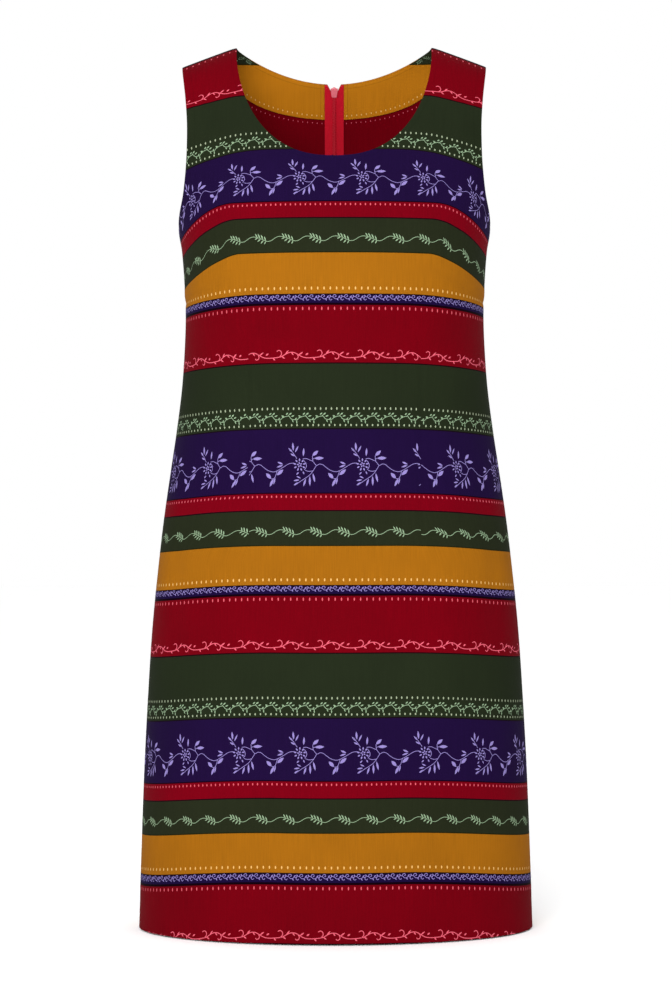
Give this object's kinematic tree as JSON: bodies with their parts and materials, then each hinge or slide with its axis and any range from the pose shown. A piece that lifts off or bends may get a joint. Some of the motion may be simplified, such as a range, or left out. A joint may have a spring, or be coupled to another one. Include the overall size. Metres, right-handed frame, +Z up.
{
  "type": "shift dress",
  "caption": "Sleeveless A-line shift dress in striped cotton with a scoop neck, bust and waist darts and a concealed back zip, held in its worn form.",
  "frame": {"origin": "midway between the two shoulders, level with the points where the neckline meets the shoulder seams", "axes": "+Z up, the front faces -Y, +X is the wearer's left"},
  "size_m": [0.393, 0.2527, 0.8759],
  "materials": {
    "front_cotton": "smooth woven cotton with a slight sheen, printed in stripes",
    "back_cotton": "smooth woven cotton with a slight sheen, printed in stripes",
    "facing_cotton": "the same printed cotton, cut on its mustard stripe",
    "zip_tape": "narrow woven polyester tape",
    "zip_coil": "polyester coil, satin",
    "zip_enamel": "enamelled zinc, satin"
  },
  "bodies": {
    "dress": {"front": "front_cotton", "back_left": "back_cotton", "back_right": "back_cotton", "neck_facing_left": "facing_cotton", "neck_facing_right": "facing_cotton", "zip_tape_left": "zip_tape", "zip_tape_right": "zip_tape", "zip_coil": "zip_coil", "zip_slider": "zip_enamel"},
    "pull": {"zip_pull": "zip_enamel"}
  },
  "joints": [
    {"name": "zip_pull_hinge", "type": "hinge", "parent": "dress", "child": "pull", "pos_m": [0, 0.05006, -0.03536], "axis": [1, 0, 0], "range_deg": [0, 150]}
  ]
}
